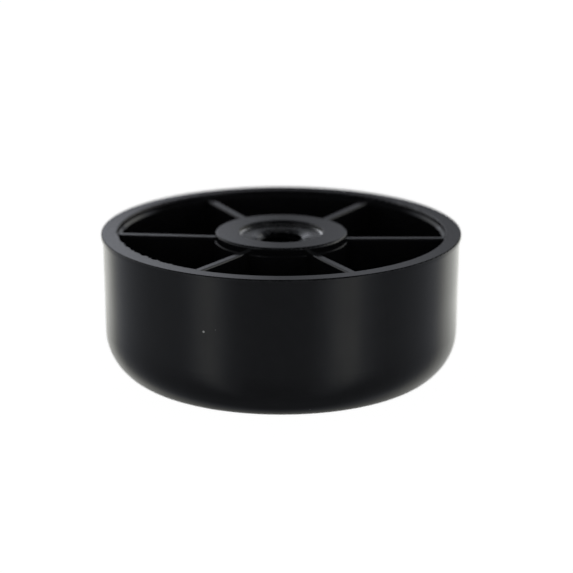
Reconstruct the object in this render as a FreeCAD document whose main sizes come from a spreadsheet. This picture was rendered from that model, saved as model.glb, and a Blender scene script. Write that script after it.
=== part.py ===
import FreeCAD, Part
import Sketcher
import math
import os
from FreeCAD import Vector

# Furniture leveling foot: a round moulded cup that stands on a flat sole and
# screws onto a stud through a threaded steel insert held in its hub.
# Millimetres, +Z up, origin at the centre of the sole on the floor.

os.makedirs("parts", exist_ok=True)
doc = FreeCAD.newDocument("LevelingFoot")

# ---------------------------------------------------------------- dimensions
# Each row is (alias, cell text).
DRIVING = [
    # wall and rim
    ("foot_dia", "60"),            # outside of the rim
    ("foot_height", "25"),         # sole to rim
    ("lip_height", "0.7"),         # thin band at the very top of the wall
    ("lip_overhang", "0.3"),       # how far that band stands proud of the wall
    ("wall_draft", "1.2"),         # degrees, wall narrows toward the sole
    ("sole_radius", "8.6"),        # rounding between wall and sole
    ("rim_width", "2.7"),          # flat top of the wall
    ("ledge_drop", "0.7"),         # rim to the narrow sloping step inside the wall
    ("ledge_width", "0.45"),
    ("ledge_fall", "0.45"),        # how far that step falls over its width
    # pockets between the ribs
    ("pocket_draft", "0.8"),       # total narrowing of each pocket, per side
    ("floor_thick", "3.2"),        # moulded floor above the sole
    ("pocket_radius", "5.4"),      # rounding between floor and wall
    ("hub_root", "1.0"),           # rounding between floor and hub
    # hub
    ("hub_dia", "22"),             # hub top disc, level with the rim
    ("step_drop", "1.4"),          # rim to the fine step around the hub
    ("hub_step", "0.15"),          # how far the hub stands out below that step
    ("mouth_dia", "14"),           # opening in the hub top
    ("mouth_depth", "0.65"),       # hub top down to the insert's face
    ("runout_dia", "8.6"),         # clearance below the insert for the stud
    ("runout_floor", "4.5"),       # bottom of that clearance above the sole
    # ribs
    ("rib_thick", "1.5"),
    ("rib_count", "6"),
    ("rib_wall_drop", "0.8"),      # rib tops at the wall, below the rim
    ("rib_drop", "1.05"),          # rib tops at the hub, below the rim
    ("rib_in_hub", "1"),           # depth the rib is buried in the hub
    ("rib_in_wall", "0.25"),       # rib's outer end, outside the rim's inner edge
    ("rib_in_floor", "1"),         # depth the rib is buried in the floor
    ("rib_wall_rise", "2"),        # rib's lower outer corner, above the sole rounding
    ("rib_knee_inset", "3.7"),     # rib's lower knee, inside the wall's foot
    ("rib_floor_over", "0.9"),     # rib's floor edge, past the flat of the sole
    # softened edges
    ("lip_round", "0.2"),          # outer edge of the rim
    ("rim_round", "0.3"),          # inner edge of the rim
    ("hub_round", "0.35"),         # outer edge of the hub's top disc
    ("mouth_round", "0.2"),        # edge of the hub's mouth
    ("rib_edge", "0.3"),           # long edges of the rib tops
    ("step_edge", "0.1"),          # edge of the hub's step
    # insert
    ("flange_dia", "17"),          # flange, trapped under the hub top
    ("flange_thick", "2.2"),
    ("barrel_flats", "12"),        # hexagonal barrel, across flats
    ("insert_length", "13"),
    ("thread_minor_dia", "6.65"),  # M8 coarse thread, bore at its minor diameter
    ("sink_dia", "9.2"),           # countersink mouth
    ("sink_end", "1.35"),          # countersink bottom, below the hub top
    ("dish_depth", "0.25"),        # dished face, between mouth and countersink
    ("bore_above", "2"),           # bore cutter runs on above the hub top
    ("bore_below", "1"),           # and below the insert
]

# Radii end in _r and heights above the sole in _z.
DERIVED = [
    ("foot_r", "=foot_dia / 2"),
    ("lip_z", "=foot_height - lip_height"),
    ("wall_top_r", "=foot_r - lip_overhang"),
    ("wall_sole_r", "=wall_top_r - lip_z * tan(wall_draft * 1 deg)"),
    ("rim_inner_r", "=foot_r - rim_width"),
    ("ledge_z", "=foot_height - ledge_drop"),
    ("ledge_low_z", "=ledge_z - ledge_fall"),
    ("cavity_r", "=rim_inner_r - ledge_width"),
    ("cavity_low_r", "=cavity_r - pocket_draft"),
    ("hub_r", "=hub_dia / 2"),
    ("step_z", "=foot_height - step_drop"),
    ("hub_step_r", "=hub_r + hub_step"),
    ("hub_low_r", "=hub_step_r + pocket_draft"),
    ("mouth_r", "=mouth_dia / 2"),
    ("runout_r", "=runout_dia / 2"),
    ("insert_top_z", "=foot_height - mouth_depth"),
    ("insert_low_z", "=insert_top_z - insert_length"),
    ("flange_r", "=flange_dia / 2"),
    ("flange_low_z", "=insert_top_z - flange_thick"),
    ("barrel_r", "=barrel_flats / 2"),
    ("barrel_length", "=insert_length - flange_thick"),
    ("hex_corner_r", "=barrel_r / cos(30 deg)"),
    ("hex_half", "=barrel_r * tan(30 deg)"),  # half a side of the hexagon
    ("thread_r", "=thread_minor_dia / 2"),
    ("sink_r", "=sink_dia / 2"),
    ("sink_low_z", "=foot_height - sink_end"),
    ("dish_low_z", "=insert_top_z - dish_depth"),
    ("above_z", "=foot_height + bore_above"),
    ("below_z", "=insert_low_z - bore_below"),
    ("rib_wall_z", "=foot_height - rib_wall_drop"),
    ("rib_z", "=foot_height - rib_drop"),
    ("rib_in_r", "=hub_r - rib_in_hub"),
    ("rib_out_r", "=rim_inner_r + rib_in_wall"),
    ("rib_out_low_z", "=sole_radius + rib_wall_rise"),
    ("rib_knee_r", "=wall_sole_r - rib_knee_inset"),
    ("rib_knee_z", "=sole_radius / 2"),
    ("rib_low_r", "=wall_sole_r - sole_radius + rib_floor_over"),
    ("rib_low_z", "=floor_thick - rib_in_floor"),
]

TOLERANCE = 0.02      # when an edge is picked by its place
SHORTEST_RIB_TOP = 5  # shorter edges are not a rib's long top edge

dims = doc.addObject("Spreadsheet::Sheet", "Dims")
for row, (alias, text) in enumerate(DRIVING + DERIVED, start=1):
    dims.set(f"A{row}", alias)
    dims.set(f"B{row}", text)
    dims.setAlias(f"B{row}", alias)
doc.recompute()


# ------------------------------------------------------------------- helpers
def val(alias):
    """Value of a dimension; None is zero, a leading minus sign negates it."""
    if alias is None:
        return 0.0
    size = float(dims.get(alias.lstrip("-")))
    return -size if alias.startswith("-") else size


def origin_feature(body, role):
    return next(f for f in body.Origin.OriginFeatures if f.Role == role)


def polygon_sketch(body, role, name, corners, offset=None):
    """Closed polygon on an origin plane; corners are (x alias, y alias)."""
    sketch = body.newObject("Sketcher::SketchObject", name)
    sketch.AttachmentSupport = [(origin_feature(body, role), "")]
    sketch.MapMode = "FlatFace"
    if offset:
        sketch.AttachmentOffset = FreeCAD.Placement(
            Vector(0, 0, val(offset)), FreeCAD.Rotation()
        )
        sketch.setExpression(".AttachmentOffset.Base.z", f"Dims.{offset}")

    points = [Vector(val(x), val(y), 0) for x, y in corners]
    count = len(points)
    for i in range(count):
        sketch.addGeometry(Part.LineSegment(points[i], points[(i + 1) % count]), False)
    for i in range(count):
        sketch.addConstraint(Sketcher.Constraint("Coincident", i, 2, (i + 1) % count, 1))
    # geometry -1 is the horizontal axis, starting at the origin; -2 the vertical
    for i, (x, y) in enumerate(corners):
        for kind, prefix, alias, zero_axis in (
            ("DistanceX", "px", x, -2),
            ("DistanceY", "py", y, -1),
        ):
            if alias is None:
                sketch.addConstraint(Sketcher.Constraint("PointOnObject", i, 1, zero_axis))
                continue
            index = sketch.addConstraint(
                Sketcher.Constraint(kind, -1, 1, i, 1, val(alias))
            )
            sketch.renameConstraint(index, f"{prefix}{i}")
            sign = "-" if alias.startswith("-") else ""
            sketch.setExpression(
                f"Constraints.{prefix}{i}", f"{sign}Dims.{alias.lstrip('-')}"
            )
    return sketch


def hexagon_sketch(body, name, offset):
    """The barrel's hexagon, corners on the X axis."""
    corners = [
        ("hex_corner_r", None),
        ("hex_half", "barrel_r"),
        ("-hex_half", "barrel_r"),
        ("-hex_corner_r", None),
        ("-hex_half", "-barrel_r"),
        ("hex_half", "-barrel_r"),
    ]
    return polygon_sketch(body, "XY_Plane", name, corners, offset)


def turned(body, kind, name, sketch):
    """Revolution or Groove, a full turn about the Z axis."""
    feature = body.newObject(f"PartDesign::{kind}", name)
    feature.Profile = sketch
    feature.ReferenceAxis = (sketch, ["V_Axis"])
    feature.Angle = 360
    doc.recompute()
    return feature


def extruded(body, kind, name, sketch, length, symmetric=False):
    """Pad or Pocket of one bound length."""
    feature = body.newObject(f"PartDesign::{kind}", name)
    feature.Profile = sketch
    feature.Length = val(length)
    feature.setExpression("Length", f"Dims.{length}")
    if symmetric:
        # the property's name depends on the FreeCAD version
        if "SideType" in feature.PropertiesList:
            feature.SideType = "Symmetric"
        else:
            feature.Midplane = True
    doc.recompute()
    return feature


def fillet(body, base, name, edges, radius):
    assert edges, f"{name}: no edges found"
    feature = body.newObject("PartDesign::Fillet", name)
    feature.Base = (base, edges)
    feature.Radius = val(radius)
    feature.setExpression("Radius", f"Dims.{radius}")
    doc.recompute()
    return feature


def circular_edges(shape, radius, height):
    """Names of the circular edges about the Z axis at one radius and height."""
    names = []
    for i, edge in enumerate(shape.Edges, start=1):
        curve = edge.Curve
        if not isinstance(curve, Part.Circle):
            continue
        misses = (
            abs(curve.Radius - val(radius)),
            abs(curve.Center.z - val(height)),
            math.hypot(curve.Center.x, curve.Center.y),
        )
        if max(misses) <= TOLERANCE:
            names.append(f"Edge{i}")
    return names


def rib_top_edges(shape):
    """Names of the long edges of the rib tops, two for each rib."""
    lowest = val("rib_z") - TOLERANCE
    highest = val("rib_wall_z") + TOLERANCE
    half_thick = val("rib_thick") / 2
    pitch = 360.0 / val("rib_count")

    def on_rib_side(point):
        angle = math.degrees(math.atan2(point.y, point.x))
        from_rib = math.radians(angle - round(angle / pitch) * pitch)
        sideways = abs(math.hypot(point.x, point.y) * math.sin(from_rib))
        return abs(sideways - half_thick) < TOLERANCE

    names = []
    for i, edge in enumerate(shape.Edges, start=1):
        if edge.Length < SHORTEST_RIB_TOP:
            continue
        ends = [edge.Vertexes[0].Point, edge.Vertexes[-1].Point]
        if all(lowest <= p.z <= highest and on_rib_side(p) for p in ends):
            names.append(f"Edge{i}")
    return names


# ----------------------------------------------------------------- foot body
def build_cup(body):
    """Wall, floor and hub, turned in one section and rounded."""
    section = polygon_sketch(body, "XZ_Plane", "CupSection", [
        # sole, outside of the wall, lip
        (None, None),
        ("wall_sole_r", None),
        ("wall_top_r", "lip_z"),
        ("foot_r", "lip_z"),
        ("foot_r", "foot_height"),
        # rim, ledge, pocket
        ("rim_inner_r", "foot_height"),
        ("rim_inner_r", "ledge_z"),
        ("cavity_r", "ledge_low_z"),
        ("cavity_low_r", "floor_thick"),
        ("hub_low_r", "floor_thick"),
        # outside and top of the hub
        ("hub_step_r", "step_z"),
        ("hub_r", "step_z"),
        ("hub_r", "foot_height"),
        ("mouth_r", "foot_height"),
        # seat of the insert, stud clearance
        ("mouth_r", "insert_top_z"),
        ("flange_r", "insert_top_z"),
        ("flange_r", "flange_low_z"),
        ("barrel_r", "flange_low_z"),
        ("barrel_r", "insert_low_z"),
        ("runout_r", "insert_low_z"),
        ("runout_r", "runout_floor"),
        (None, "runout_floor"),
    ])
    cup = turned(body, "Revolution", "CupTurned", section)
    # name, then the edge's radius and height, then the fillet radius
    for name, edge_r, edge_z, radius in (
        ("SoleRounding", "wall_sole_r", None, "sole_radius"),
        ("PocketRounding", "cavity_low_r", "floor_thick", "pocket_radius"),
        ("HubRoot", "hub_low_r", "floor_thick", "hub_root"),
        ("SoftLip", "foot_r", "foot_height", "lip_round"),
        ("SoftRim", "rim_inner_r", "foot_height", "rim_round"),
        ("SoftHub", "hub_r", "foot_height", "hub_round"),
        ("SoftMouth", "mouth_r", "foot_height", "mouth_round"),
    ):
        cup = fillet(body, cup, name, circular_edges(cup.Shape, edge_r, edge_z), radius)
    return cup


def build_ribs(body):
    """Plates between hub, floor and wall, repeated around the axis.

    Their tops fall slightly toward the hub; their lower edges are buried in
    the moulding and follow the rounded corner between floor and wall.
    """
    section = polygon_sketch(body, "XZ_Plane", "RibSection", [
        ("rib_in_r", "rib_z"),
        ("rib_in_r", "rib_low_z"),
        ("rib_low_r", "rib_low_z"),
        ("rib_knee_r", "rib_knee_z"),
        ("rib_out_r", "rib_out_low_z"),
        ("rib_out_r", "rib_wall_z"),
    ])
    plate = extruded(body, "Pad", "RibPlate", section, "rib_thick", symmetric=True)
    ribs = body.newObject("PartDesign::PolarPattern", "RibRing")
    ribs.Originals = [plate]
    ribs.Axis = (origin_feature(body, "Z_Axis"), [""])
    ribs.Angle = 360
    ribs.Occurrences = int(val("rib_count"))
    ribs.setExpression("Occurrences", "Dims.rib_count")
    # the fillets that follow must build on the whole ring
    body.Tip = ribs
    doc.recompute()
    return ribs


def build_foot():
    """The moulded cup: wall, floor, hub and ribs are one moulding."""
    body = doc.addObject("PartDesign::Body", "foot_body")
    body.Label = "foot_body"
    cup = build_cup(body)

    # hexagonal seat around the insert's barrel
    hexagon = hexagon_sketch(body, "BarrelSeat", "flange_low_z")
    seat = extruded(body, "Pocket", "BarrelSeatCut", hexagon, "barrel_length")
    assert seat.Shape.Volume < cup.Shape.Volume, "the hexagonal seat cut nothing"

    ribs = build_ribs(body)
    rib_count = int(val("rib_count"))
    tops = rib_top_edges(ribs.Shape)
    assert len(tops) == 2 * rib_count, "rib top edges missing"
    soft_ribs = fillet(body, ribs, "SoftRibs", tops, "rib_edge")

    # the ribs split the step around the hub into one arc in each pocket
    arcs = circular_edges(soft_ribs.Shape, "hub_step_r", "step_z")
    assert len(arcs) == rib_count, "hub step arcs missing"
    body.Tip = fillet(body, soft_ribs, "SoftStep", arcs, "step_edge")
    return body


# ----------------------------------------------------------- threaded insert
def build_insert():
    """Steel insert: a round flange trapped under the hub's top and a hexagonal
    barrel that stops it from turning, bored through."""
    body = doc.addObject("PartDesign::Body", "threaded_insert")
    body.Label = "threaded_insert"

    hexagon = hexagon_sketch(body, "BarrelHexagon", "insert_low_z")
    extruded(body, "Pad", "Barrel", hexagon, "barrel_length")

    disc = polygon_sketch(body, "XZ_Plane", "FlangeSection", [
        (None, "flange_low_z"),
        ("flange_r", "flange_low_z"),
        ("flange_r", "insert_top_z"),
        (None, "insert_top_z"),
    ])
    flange = turned(body, "Revolution", "Flange", disc)

    # thread bore, countersink and dished face in one cut
    section = polygon_sketch(body, "XZ_Plane", "BoreSection", [
        (None, "below_z"),
        ("thread_r", "below_z"),
        ("thread_r", "sink_low_z"),
        ("sink_r", "dish_low_z"),
        ("mouth_r", "insert_top_z"),
        ("mouth_r", "above_z"),
        (None, "above_z"),
    ])
    bore = turned(body, "Groove", "Bore", section)
    assert bore.Shape.Volume < flange.Shape.Volume, "the bore cut nothing"
    body.Tip = bore
    return body


# ------------------------------------------------------------ checks, export
bodies = [build_foot(), build_insert()]
doc.recompute()
for obj in doc.Objects:
    assert not {"Invalid", "Error"} & set(obj.State), (obj.Name, obj.State)
    if obj.TypeId.startswith("PartDesign::") and hasattr(obj, "Shape"):
        assert not obj.Shape.isNull(), obj.Name
        assert obj.Shape.isValid(), obj.Name

for body in bodies:
    assert len(body.Shape.Solids) == 1, body.Label
    body.Shape.exportStep(f"parts/{body.Label}.step")
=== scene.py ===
"""Round black plastic foot with a threaded steel insert.

The axis is Z, the foot stands on z = 0 and its rim is at z = 25 mm. The front is -Y.
Meshes are laid out in millimetres; shaders, studio and camera work in metres.
"""
import bmesh
import bpy
import math
import random
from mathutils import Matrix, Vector


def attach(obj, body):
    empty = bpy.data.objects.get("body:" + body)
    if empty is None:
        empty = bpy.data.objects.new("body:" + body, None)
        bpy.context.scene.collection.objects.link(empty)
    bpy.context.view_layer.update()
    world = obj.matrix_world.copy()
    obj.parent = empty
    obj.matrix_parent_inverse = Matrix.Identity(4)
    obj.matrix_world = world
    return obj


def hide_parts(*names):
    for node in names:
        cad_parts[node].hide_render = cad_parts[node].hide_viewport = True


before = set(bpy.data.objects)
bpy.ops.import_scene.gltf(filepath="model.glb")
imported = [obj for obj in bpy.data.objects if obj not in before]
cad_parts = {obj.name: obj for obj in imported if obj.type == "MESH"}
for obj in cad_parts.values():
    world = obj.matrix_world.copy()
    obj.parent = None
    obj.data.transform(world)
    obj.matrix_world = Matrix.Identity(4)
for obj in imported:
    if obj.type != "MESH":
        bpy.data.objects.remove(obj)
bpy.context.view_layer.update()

MM = 0.001
RIM_TOP = 25.0            # mm
TURN = math.radians(2.7)  # the camera stands this far round from -Y toward +X


# ---------------------------------------------------------------- helpers
def rgba(value):
    """Grey number or RGB triple as RGBA; sockets pass through."""
    if isinstance(value, bpy.types.NodeSocket):
        return value
    if isinstance(value, (int, float)):
        return (value, value, value, 1.0)
    return (*value, 1.0)


class ShaderTree:
    """Builds a node tree. Any input can be a number, a tuple or a socket."""

    def __init__(self, owner):
        owner.use_nodes = True
        self.tree = owner.node_tree
        self.tree.nodes.clear()

    def node(self, kind, inputs=None, **properties):
        node = self.tree.nodes.new(kind)
        for name, value in properties.items():
            setattr(node, name, value)
        for key, value in (inputs or {}).items():
            self.put(node.inputs[key], value)
        return node

    def put(self, socket, value):
        if isinstance(value, bpy.types.NodeSocket):
            self.tree.links.new(value, socket)
        else:
            socket.default_value = value

    def math(self, operation, *operands, clamp=False):
        inputs = dict(enumerate(operands))
        return self.node("ShaderNodeMath", inputs, operation=operation, use_clamp=clamp).outputs[0]

    def add(self, first, second, clamp=False):
        return self.math("ADD", first, second, clamp=clamp)

    def multiply(self, first, second):
        return self.math("MULTIPLY", first, second)

    def xyz(self, vector):
        return self.node("ShaderNodeSeparateXYZ", {0: vector}).outputs

    def axis_radius(self, x, y):
        return self.math("SQRT", self.add(self.multiply(x, x), self.multiply(y, y)))

    def red(self, colour):
        return self.node("ShaderNodeSeparateColor", {0: colour}).outputs[0]

    def ramp(self, factor, stops):
        """Colour ramp; stops are (position, grey or RGB)."""
        node = self.node("ShaderNodeValToRGB", {0: factor})
        elements = node.color_ramp.elements
        elements.remove(elements[-1])
        elements[0].position = stops[0][0]
        elements[0].color = rgba(stops[0][1])
        for position, value in stops[1:]:
            elements.new(position).color = rgba(value)
        return node.outputs[0]

    def noise(self, vector, scale, detail, rough):
        return self.node("ShaderNodeTexNoise", {
            "Vector": vector, "Scale": scale, "Detail": detail, "Roughness": rough,
        }).outputs["Fac"]

    def fade(self, value, over, to=(0.0, 1.0), smooth=True):
        """Maps the range `over` to the range `to`, clamped."""
        return self.node("ShaderNodeMapRange", {
            "Value": value, "From Min": over[0], "From Max": over[1],
            "To Min": to[0], "To Max": to[1],
        }, interpolation_type="SMOOTHSTEP" if smooth else "LINEAR").outputs["Result"]

    def mix(self, factor, off, on):
        return self.node("ShaderNodeMix", {0: factor, 2: off, 3: on}, data_type="FLOAT").outputs[0]

    def mix_colour(self, factor, off, on):
        inputs = {0: factor, 6: rgba(off), 7: rgba(on)}
        return self.node("ShaderNodeMix", inputs, data_type="RGBA").outputs[2]

    def mix_shader(self, factor, off, on):
        inputs = {0: factor, 1: off.outputs[0], 2: on.outputs[0]}
        return self.node("ShaderNodeMixShader", inputs)

    def bump(self, height, strength, distance, normal=None):
        inputs = {"Strength": strength, "Distance": distance, "Height": height}
        if normal is not None:
            inputs["Normal"] = normal
        return self.node("ShaderNodeBump", inputs).outputs["Normal"]

    def output(self, shader, kind="ShaderNodeOutputMaterial"):
        self.node(kind, {0: shader.outputs[0]})


def new_material(name):
    material = bpy.data.materials.new(name)
    return material, ShaderTree(material)


def new_object(name, verts, faces, material):
    mesh = bpy.data.meshes.new(name)
    mesh.from_pydata(verts, [], faces)
    mesh.materials.append(material)
    item = bpy.data.objects.new(name, mesh)
    bpy.context.scene.collection.objects.link(item)
    return item


def face_outward(mesh):
    work = bmesh.new()
    work.from_mesh(mesh)
    bmesh.ops.recalc_face_normals(work, faces=work.faces)
    work.to_mesh(mesh)
    work.free()


# ------------------------------------------------------------- black plastic
# (radius, half width) of each upper edge on rim, hub disc and mouth that is painted lighter,
# partly wear and partly a painted highlight, metres
WORN_HIGHLIT_EDGES = ((0.02752, 0.00022), (0.02990, 0.00014), (0.01080, 0.00024), (0.00712, 0.00018))
GRAIN_PLACE = (-0.01119, -0.02731, 0.01547)  # one clear grain of dust, front left


def dust_specks(tree, position):
    """Small round specks in a few of the cells."""
    cells = tree.node("ShaderNodeTexVoronoi", {
        "Scale": 330.0, "Randomness": 1.0, "Vector": position,
    }).outputs
    chosen_share = 0.93  # cells whose random value is above this carry a speck
    chosen = tree.red(cells["Color"])
    return tree.multiply(
        tree.fade(cells["Distance"], over=(0.045, 0.030)),
        tree.math("GREATER_THAN", chosen, chosen_share),
    )


def worn_and_highlit_edges(tree, position, radius, height):
    """Patchy wear and a painted highlight along the upper edges."""
    edge = 0.0
    for edge_radius, half_width in WORN_HIGHLIT_EDGES:
        offset = tree.math("ABSOLUTE", tree.math("SUBTRACT", radius, edge_radius))
        band = tree.fade(offset, over=(half_width, half_width * 0.4))
        edge = tree.math("MAXIMUM", edge, band)
    near_top = tree.fade(height, over=(0.02455, 0.02475))
    patches = tree.noise(position, scale=900.0, detail=4.0, rough=0.7)
    patches = tree.fade(patches, over=(0.42, 0.62))
    return tree.multiply(tree.multiply(edge, near_top), patches)


def wall_roughness(tree, position, radius):
    """Slow change and fine upright streaks; the pocket walls are polished."""
    slow = tree.noise(position, scale=90.0, detail=3.0, rough=0.55)
    rough = tree.fade(slow, over=(0.3, 0.7), to=(0.17, 0.225))
    stretched = tree.node("ShaderNodeMapping", {
        "Scale": (900.0, 900.0, 60.0), "Vector": position,
    }).outputs[0]
    streaks = tree.noise(stretched, scale=1.0, detail=4.0, rough=0.6)
    rough = tree.add(rough, tree.fade(streaks, over=(0.52, 0.75), to=(0.0, 0.035)))
    inside = tree.fade(radius, over=(0.0278, 0.0276))
    return tree.mix(inside, off=rough, on=0.085)


def black_plastic():
    material, tree = new_material("black_moulded_plastic")
    position = tree.node("ShaderNodeTexCoord").outputs["Object"]
    x, y, z = tree.xyz(position)
    radius = tree.axis_radius(x, y)
    facing_up = tree.xyz(tree.node("ShaderNodeNewGeometry").outputs["True Normal"])[2]
    # faces looking up near the top: rim, hub disc, rib tops, ledges
    top = tree.multiply(
        tree.fade(facing_up, over=(0.75, 0.97)),
        tree.fade(z, over=(0.0230, 0.0236)),
    )

    # colour: nearly black with a faint cool cast, mottled a little
    mottle = tree.noise(position, scale=420.0, detail=4.0, rough=0.6)
    body = tree.ramp(mottle, [
        (0.30, (0.0072, 0.0074, 0.0084)), (0.70, (0.0098, 0.0100, 0.0112)),
    ])
    worn = tree.noise(position, scale=2600.0, detail=5.0, rough=0.65)
    # painted sheen: the level top faces get a lighter colour that stands in for the light they
    # catch, mottled by the fine scuff noise
    top_sheen_and_scuff = tree.ramp(worn, [
        (0.30, (0.0100, 0.0104, 0.0118)), (0.72, (0.0175, 0.0180, 0.0200)),
    ])
    base = tree.mix_colour(top, off=body, on=top_sheen_and_scuff)
    speck_cover, edge_wear_and_highlight_cover = 0.30, 0.45  # how far specks and the worn, painted-highlight edges hide the base
    speck = dust_specks(tree, position)
    base = tree.mix_colour(tree.multiply(speck, speck_cover), off=base, on=(0.32, 0.33, 0.33))
    # painted highlight: the upper edges are painted lighter, partly wear and partly a painted
    # highlight
    edge = worn_and_highlit_edges(tree, position, radius, z)
    base = tree.mix_colour(tree.multiply(edge, edge_wear_and_highlight_cover), off=base, on=(0.050, 0.052, 0.056))
    from_grain = tree.node("ShaderNodeVectorMath", {0: position, 1: GRAIN_PLACE},
                           operation="DISTANCE").outputs["Value"]
    grain = tree.fade(from_grain, over=(0.00024, 0.00014))
    base = tree.mix_colour(grain, off=base, on=(0.50, 0.51, 0.50))

    top_rough = tree.fade(worn, over=(0.3, 0.7), to=(0.10, 0.17))
    rough = tree.mix(top, off=wall_roughness(tree, position, radius), on=top_rough)
    dust_rough = 0.3  # added where dust lies
    dust = tree.math("MAXIMUM", speck, grain)
    rough = tree.add(rough, tree.multiply(dust, dust_rough), clamp=True)

    # bump: moulded unevenness, a fine grain, then wear on the top faces
    uneven = tree.noise(position, scale=260.0, detail=2.0, rough=0.5)
    fine = tree.noise(position, scale=5200.0, detail=3.0, rough=0.6)
    normal = tree.bump(uneven, strength=0.10, distance=0.00006)
    normal = tree.bump(fine, strength=0.05, distance=0.00002, normal=normal)
    normal = tree.bump(tree.multiply(worn, top), strength=0.16, distance=0.00005, normal=normal)
    tree.output(tree.node("ShaderNodeBsdfPrincipled", {
        "Base Color": base, "Roughness": rough, "IOR": 1.49, "Normal": normal,
    }))
    return material


# ------------------------------------------------------------- plated steel
def plated_steel():
    material, tree = new_material("zinc_plated_steel")
    position = tree.node("ShaderNodeTexCoord").outputs["Object"]
    x, y, z = tree.xyz(position)
    radius = tree.axis_radius(x, y)
    patch = tree.noise(position, scale=520.0, detail=4.0, rough=0.6)
    base = tree.ramp(patch, [(0.3, (0.205, 0.205, 0.207)), (0.7, (0.325, 0.325, 0.322))])
    # painted highlight: from the turned-up edge outward the steel gets a much brighter base, a
    # painted glint
    lip_glint = tree.fade(radius, over=(0.00655, 0.00675))
    base = tree.mix_colour(lip_glint, off=base, on=(0.84, 0.83, 0.80))
    # painted shade: down the thread the steel is painted nearly black, standing in for the shade
    # in the bore
    bore_shade_cover = 0.97
    deep = tree.fade(z, over=(0.02375, 0.02345))
    inner = tree.fade(radius, over=(0.0052, 0.0046))
    painted_bore_shade = tree.multiply(inner, tree.multiply(deep, bore_shade_cover))
    base = tree.mix_colour(painted_bore_shade, off=base, on=(0.020, 0.020, 0.019))
    rough = tree.mix(lip_glint, off=tree.fade(patch, over=(0.3, 0.7), to=(0.20, 0.33)), on=0.16)

    # turning marks: fine rings, slightly uneven, under two grains of pitting
    ring_pitch, ring_wobble = 0.00028, 0.00035
    wobble = tree.noise(position, scale=300.0, detail=2.0, rough=0.5)
    wavy_radius = tree.add(radius, tree.multiply(wobble, ring_wobble))
    rings = tree.math("SINE", tree.multiply(wavy_radius, 2.0 * math.pi / ring_pitch))
    fine = tree.noise(position, scale=2400.0, detail=4.0, rough=0.65)
    coarse = tree.noise(position, scale=900.0, detail=3.0, rough=0.6)
    normal = tree.bump(rings, strength=0.35, distance=0.00001)
    normal = tree.bump(fine, strength=0.25, distance=0.00003, normal=normal)
    normal = tree.bump(coarse, strength=0.35, distance=0.00008, normal=normal)
    tree.output(tree.node("ShaderNodeBsdfPrincipled", {
        "Base Color": base, "Metallic": 1.0, "Roughness": rough, "Normal": normal,
    }))
    return material


plastic = black_plastic()
steel = plated_steel()
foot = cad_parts["foot_body"]
foot.data.materials.clear()
foot.data.materials.append(plastic)


# ------------------------------------------- insert with its thread, mm
COLUMNS = 144                                # round the axis
PITCH, MINOR, MAJOR = 1.25, 3.325, 4.02      # M8 x 1.25 thread, radii
CREST, FLANK, ROOT = 0.25, 0.3125, 0.125     # shares of the pitch; there are two flanks
INSERT_TOP, INSERT_LOW = 24.35, 11.35
SINK_RADIUS, SINK_TOP, SINK_LOW = 4.6, 24.10, 23.65   # countersink at the top
LEAD_DEPTH, LEAD_WIDTH = 0.9, 0.85           # countersink at the bottom
STEPS = int((SINK_TOP - INSERT_LOW) / (PITCH / 18)) + 1
FLANGE_RADIUS, FLANGE_LOW, FLANGE_CHAMFER = 8.5, 22.15, 0.15
HALF_FLATS, HEX_CHAMFER = 6.0, 0.25          # hexagonal body below the flange
BOTTOM_RADIUS = 4.9                          # where the bottom face meets the bore slope
# (radius, z) from the countersink out over the turned-up edge
LIP_PROFILE = [
    (4.66, 24.125), (5.4, 24.18), (6.3, 24.26), (6.66, 24.30), (6.76, 24.36),
    (6.86, 24.41), (6.95, 24.43), (7.06, 24.42), (7.2, 24.37), (7.35, INSERT_TOP),
]
FLANGE_PROFILE = [
    (FLANGE_RADIUS - FLANGE_CHAMFER, INSERT_TOP),
    (FLANGE_RADIUS, INSERT_TOP - FLANGE_CHAMFER),
    (FLANGE_RADIUS, FLANGE_LOW + FLANGE_CHAMFER),
    (FLANGE_RADIUS - FLANGE_CHAMFER, FLANGE_LOW),
    (7.2, FLANGE_LOW),
]


def thread_radius(z, angle):
    phase = (z / PITCH - angle / (2 * math.pi)) % 1.0
    if phase < CREST:
        return MINOR
    if phase < CREST + FLANK:
        return MINOR + (MAJOR - MINOR) * (phase - CREST) / FLANK
    if phase < CREST + FLANK + ROOT:
        return MAJOR
    return MAJOR - (MAJOR - MINOR) * (phase - CREST - FLANK - ROOT) / FLANK


def countersink_radius(z):
    """Radius the countersinks cut at this height, 0 between them."""
    if z > SINK_LOW:
        return MINOR + (SINK_RADIUS - MINOR) * (z - SINK_LOW) / (SINK_TOP - SINK_LOW)
    if z < INSERT_LOW + LEAD_DEPTH:
        return MINOR + LEAD_WIDTH * (INSERT_LOW + LEAD_DEPTH - z) / LEAD_DEPTH
    return 0.0


def insert_section(angle):
    """Closed outline (radius, z): up the bore, out over the flange, down the hexagon."""
    points = []
    for step in range(STEPS + 1):
        z = INSERT_LOW + (SINK_TOP - INSERT_LOW) * step / STEPS
        points.append((max(thread_radius(z, angle), countersink_radius(z)), z))
    flat = HALF_FLATS / math.cos(angle % (math.pi / 3) - math.pi / 6)
    return points + LIP_PROFILE + FLANGE_PROFILE + [
        (flat + 0.001, FLANGE_LOW),
        (flat, FLANGE_LOW - 0.05),
        (flat, INSERT_LOW + HEX_CHAMFER),
        (flat - HEX_CHAMFER, INSERT_LOW),
        (BOTTOM_RADIUS, INSERT_LOW),
    ]


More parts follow.
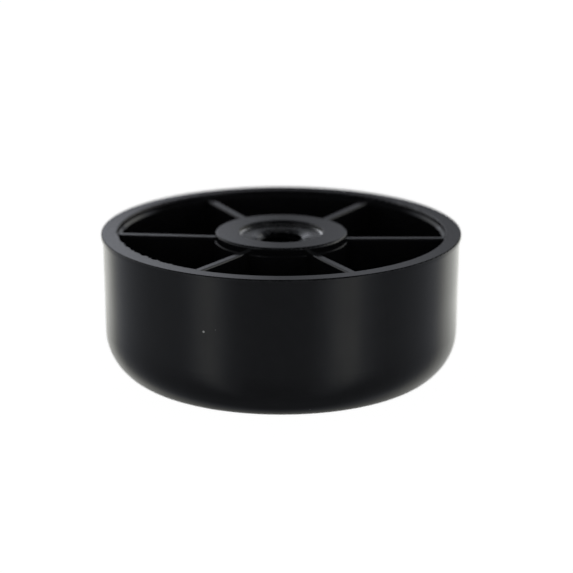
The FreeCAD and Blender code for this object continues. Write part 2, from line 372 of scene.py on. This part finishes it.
def threaded_insert():
    angles = [2 * math.pi * column / COLUMNS for column in range(COLUMNS)]
    rows = list(zip(*(insert_section(angle) for angle in angles)))
    verts = [
        (radius * math.cos(angle) * MM, radius * math.sin(angle) * MM, z * MM)
        for row in rows
        for angle, (radius, z) in zip(angles, row)
    ]
    faces = []
    for i in range(len(rows)):
        this, following = i * COLUMNS, (i + 1) % len(rows) * COLUMNS
        for c in range(COLUMNS):
            d = (c + 1) % COLUMNS
            faces.append((this + c, following + c, following + d, this + d))
    insert = new_object("insert_with_thread", verts, faces, steel)
    face_outward(insert.data)
    for polygon in insert.data.polygons:
        polygon.use_smooth = True
    insert.data.set_sharp_from_angle(angle=math.radians(32))
    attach(insert, "root")
    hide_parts("threaded_insert")


threaded_insert()


# ------------------------------------------------------ moulding flash, mm
FLASH_START, FLASH_END = -84.0, -27.0    # degrees from -Y toward +X
FADE_IN, FADE_OUT = 10.0, 14.0           # degrees over which the depth grows and dies
DEEP_CHANCE = 0.45
DEEP, SHALLOW = (0.16, 0.44), (0.0, 0.12)   # reach in from the rim's inner edge
GAP = (0.25, 1.5)                        # degrees between ragged points
FLASH_RADIUS = 27.34                     # inner edge where the reach is 0
RINGS_PER_GAP = 4


def flash_rings():
    """Random ragged outline as (degrees, reach)."""
    rnd = random.Random(11)
    marks = []
    angle = FLASH_START
    while angle < FLASH_END:
        fade = min(1.0, (angle - FLASH_START) / FADE_IN, (FLASH_END - angle) / FADE_OUT)
        reach = DEEP if rnd.random() < DEEP_CHANCE else SHALLOW
        marks.append((angle, rnd.uniform(*reach) * fade))
        angle += rnd.uniform(*GAP)
    marks.append((FLASH_END, 0.0))
    rings = []
    for (angle0, reach0), (angle1, reach1) in zip(marks, marks[1:]):
        for k in range(RINGS_PER_GAP):
            t = k / RINGS_PER_GAP
            eased = min(1.0, t * 1.6) ** 0.7
            rings.append((angle0 + (angle1 - angle0) * t, reach0 + (reach1 - reach0) * eased))
    return rings + [marks[-1]]


def rim_flash():
    """Thin ragged flash along part of the rim's inner edge."""
    rings = flash_rings()
    verts, faces = [], []
    for angle, reach in rings:
        across, along = math.sin(math.radians(angle)), -math.cos(math.radians(angle))
        inner = FLASH_RADIUS - reach
        droop = reach * 0.02
        section = (
            (27.62, RIM_TOP + 0.004), (inner, RIM_TOP - droop),
            (inner, RIM_TOP - 0.06 - droop), (27.50, RIM_TOP - 0.20),
        )
        for radius, z in section:
            verts.append((radius * across * MM, radius * along * MM, z * MM))
    last = (len(rings) - 1) * 4
    for i in range(0, last, 4):
        for k in range(4):
            m = (k + 1) % 4
            faces.append((i + k, i + m, i + 4 + m, i + 4 + k))
    faces.append((3, 2, 1, 0))
    faces.append((last, last + 1, last + 2, last + 3))
    flash = new_object("moulding_flash", verts, faces, plastic)
    face_outward(flash.data)
    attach(flash, "root")


rim_flash()


# ---------------------------------------------------------------- the studio
FLOOR_HALF, FLOOR_Z = 30.0, -0.00002
FLOOR_SEEN, FLOOR_BOUNCE = 0.99, 0.45  # glow for camera rays and for diffuse rays
# how much of the studio map mirror rays keep, across NEAR_RANGE from the axis; the rest is black,
# a painted contact shadow seen only in reflections
NEAR_RANGE = (0.020, 0.070)
NEAR_FLOOR = [(0.0, 0.10), (0.08, 0.20), (0.12, 0.37), (0.15, 0.51), (0.26, 0.60),
              (0.40, 0.75), (0.80, 1.0)]
# what glossy surfaces mirror below and above the horizon:
# (degrees round from the camera toward +X, brightness)
BELOW = [
    (-180, 1.30), (-158, 1.25), (-150, 1.20), (-143, 0.92), (-136, 0.60), (-128, 0.44),
    (-118, 0.34), (-105, 0.28), (-92, 0.25), (-70, 0.24), (-62, 0.31), (-55, 0.54),
    (-47, 0.68), (-41, 0.50), (-35, 0.28), (-27, 0.19), (-10, 0.175), (20, 0.18),
    (29, 0.31), (37, 0.62), (50, 0.70), (54, 0.40), (66, 0.24), (72, 0.20), (86, 0.23),
    (104, 0.30), (119, 0.44), (128, 0.71), (136, 1.08), (150, 1.24), (180, 1.30),
]
ABOVE = [
    (-180, 0.05), (-174, 0.07), (-167, 0.30), (-158, 0.42), (-145, 0.50), (-130, 0.60),
    (-115, 0.60), (-100, 0.55), (-80, 0.40), (-62, 0.30), (-55, 0.42), (-47, 0.50),
    (-40, 0.38), (-33, 0.10), (-20, 0.03), (22, 0.03), (30, 0.14), (38, 0.45), (49, 0.50),
    (55, 0.28), (64, 0.18), (80, 0.32), (100, 0.70), (115, 1.00), (130, 1.00), (145, 0.70),
    (158, 0.45), (167, 0.30), (174, 0.07), (180, 0.05),
]
OVERHEAD, STRAIGHT_DOWN = 0.028, 0.19  # mirrored brightness there
# soft card behind the foot, metres
CARD_Y, CARD_HALF, CARD_LOW, CARD_TOP = 0.150, 0.060, 0.0562, 0.112
# (millimetres across, brightness)
CARD = [(-60, 0.80), (-38, 0.76), (-27, 0.63), (-15, 0.49), (-8, 0.37), (0, 0.21),
        (9, 0.28), (16, 0.34), (38, 0.26), (60, 0.23)]


def floor():
    """Plain pale floor. Mirror rays pass through it to the studio map, dimmed
    close round the foot as a painted contact shadow; soft light bounces off it from below."""
    material, tree = new_material("pale_floor")
    ray = tree.node("ShaderNodeLightPath").outputs
    matt = tree.node("ShaderNodeBsdfDiffuse", {0: rgba(0.12)})
    seen = tree.multiply(ray["Is Camera Ray"], FLOOR_SEEN)
    bounce = tree.multiply(ray["Is Diffuse Ray"], FLOOR_BOUNCE)
    glow = tree.node("ShaderNodeEmission", {0: rgba(1.0), 1: tree.add(seen, bounce)})
    pale = tree.node("ShaderNodeAddShader", {0: matt.outputs[0], 1: glow.outputs[0]})
    x, y, _ = tree.xyz(tree.node("ShaderNodeNewGeometry").outputs["Position"])
    # painted contact shadow: close round the foot, mirror rays see black instead of the studio map
    near = tree.fade(tree.axis_radius(x, y), over=NEAR_RANGE, smooth=False)
    kept = tree.red(tree.ramp(near, NEAR_FLOOR))
    clear = tree.node("ShaderNodeBsdfTransparent", {0: tree.ramp(kept, [(0.0, 0.0), (1.0, 1.0)])})
    tree.output(tree.mix_shader(ray["Is Glossy Ray"], off=pale, on=clear))
    half = FLOOR_HALF
    corners = [(-half, -half, 0), (half, -half, 0), (half, half, 0), (-half, half, 0)]
    ground = new_object("floor", corners, [(0, 1, 2, 3)], material)
    ground.location.z = FLOOR_Z


def studio():
    """World light: one map for mirror rays, a soft sky for matt surfaces."""
    world = bpy.data.worlds.new("studio")
    bpy.context.scene.world = world
    tree = ShaderTree(world)
    direction = tree.node("ShaderNodeVectorRotate", {
        "Vector": tree.node("ShaderNodeTexCoord").outputs["Generated"], "Angle": -TURN,
    }, rotation_type="Z_AXIS").outputs[0]
    x, y, z = tree.xyz(direction)
    azimuth = tree.math("ARCTAN2", x, tree.multiply(y, -1.0))
    # azimuth from -pi..pi to 0..1, elevation to degrees
    around = tree.math("MULTIPLY_ADD", azimuth, 1.0 / (2 * math.pi), 0.5)
    elevation = tree.multiply(tree.math("ARCSINE", z), 180.0 / math.pi)

    def brightness(table):
        """The ramp holds half values, so that they stay below 1."""
        stops = [((degrees + 180) / 360.0, value / 2.0) for degrees, value in table]
        return tree.multiply(tree.red(tree.ramp(around, stops)), 2.0)

    # below the horizon the light changes to one value straight down
    level = tree.fade(elevation, over=(-75.0, -22.0))
    low = tree.mix(level, off=STRAIGHT_DOWN, on=brightness(BELOW))
    # above, it is bright low down and dark overhead
    dying = tree.fade(elevation, over=(24.0, 42.0), to=(1.0, 0.0))
    high = tree.add(OVERHEAD, tree.multiply(brightness(ABOVE), dying))
    mirrored = tree.mix(tree.fade(elevation, over=(-4.0, 3.0)), off=low, on=high)
    ray = tree.node("ShaderNodeLightPath").outputs
    # soft light on matt surfaces comes from low all round, not from overhead
    sky = tree.fade(elevation, over=(8.0, 50.0), to=(0.55, 0.05))
    strength = tree.mix(ray["Is Glossy Ray"], off=sky, on=mirrored)
    strength = tree.mix(ray["Is Camera Ray"], off=strength, on=1.0)
    # mirrored light is cool where dim and warm where bright
    bright = tree.fade(strength, over=(0.30, 0.85))
    cast = tree.mix_colour(bright, off=(0.945, 0.985, 1.075), on=(1.005, 1.010, 0.965))
    tint = tree.mix_colour(ray["Is Glossy Ray"], off=1.0, on=cast)
    background = tree.node("ShaderNodeBackground", {0: tint, 1: strength})
    tree.output(background, kind="ShaderNodeOutputWorld")


def view():
    settings = bpy.context.scene.view_settings
    settings.view_transform = "Standard"
    settings.look = "None"
    settings.exposure = 0.0
    settings.gamma = 1.0


def card():
    """Soft card low behind the foot. The level top faces mirror it, so its left
    to right change shows across them."""
    material, tree = new_material("soft_card")
    x, _, z = tree.xyz(tree.node("ShaderNodeTexCoord").outputs["Object"])
    width = 2 * CARD_HALF
    across = tree.math("MULTIPLY_ADD", x, 1.0 / width, 0.5)
    stops = [(place * MM / width + 0.5, value) for place, value in CARD]
    glow = tree.node("ShaderNodeEmission", {
        0: rgba((0.955, 0.985, 1.075)), 1: tree.red(tree.ramp(across, stops)),
    })
    clear = tree.node("ShaderNodeBsdfTransparent")
    # soft sides, bottom and top; only mirror rays see the card
    cover = tree.multiply(
        tree.fade(tree.math("ABSOLUTE", x), over=(CARD_HALF, CARD_HALF - 0.015)),
        tree.fade(z, over=(CARD_LOW, CARD_LOW + 0.0028)),
    )
    cover = tree.multiply(cover, tree.fade(z, over=(CARD_TOP, CARD_TOP - 0.030)))
    ray = tree.node("ShaderNodeLightPath").outputs
    cover = tree.multiply(cover, ray["Is Glossy Ray"])
    tree.output(tree.mix_shader(cover, off=clear, on=glow))
    corners = [
        (-CARD_HALF, CARD_Y, CARD_LOW), (CARD_HALF, CARD_Y, CARD_LOW),
        (CARD_HALF, CARD_Y, CARD_TOP), (-CARD_HALF, CARD_Y, CARD_TOP),
    ]
    sheet = new_object("soft_card", corners, [(0, 1, 2, 3)], material)
    sheet.rotation_euler.z = TURN
    sheet.visible_camera = False
    sheet.visible_diffuse = False
    sheet.visible_shadow = False


floor()
studio()
view()
card()


# ---------------------------------------------------------------- the camera
DISTANCE = 0.61602                # metres from the centre of the rim's top
ELEVATION = math.radians(15.08)   # above that point
TILT = 0.278198                   # radians the view looks down
FOCUS_NEARER = 0.026              # metres the focus lies in front of the axis


def turned(y, z):
    """Vector in the YZ plane, turned about Z to the camera's side."""
    return Vector((-y * math.sin(TURN), y * math.cos(TURN), z))


def camera():
    data = bpy.data.cameras.new("camera")
    eye = bpy.data.objects.new("camera", data)
    bpy.context.scene.collection.objects.link(eye)
    data.sensor_width = 36.0
    data.lens = 232.20942408
    data.shift_x = 0.0092495637
    eye.location = turned(
        y=-DISTANCE * math.cos(ELEVATION),
        z=RIM_TOP * MM + DISTANCE * math.sin(ELEVATION),
    )
    aim = turned(y=math.cos(TILT), z=-math.sin(TILT))
    eye.rotation_mode = "QUATERNION"
    eye.rotation_quaternion = aim.to_track_quat("-Z", "Y")
    data.clip_start, data.clip_end = 0.01, 100.0
    data.dof.use_dof = True
    data.dof.focus_distance = DISTANCE - FOCUS_NEARER
    data.dof.aperture_fstop = 24.0
    bpy.context.scene.camera = eye


camera()
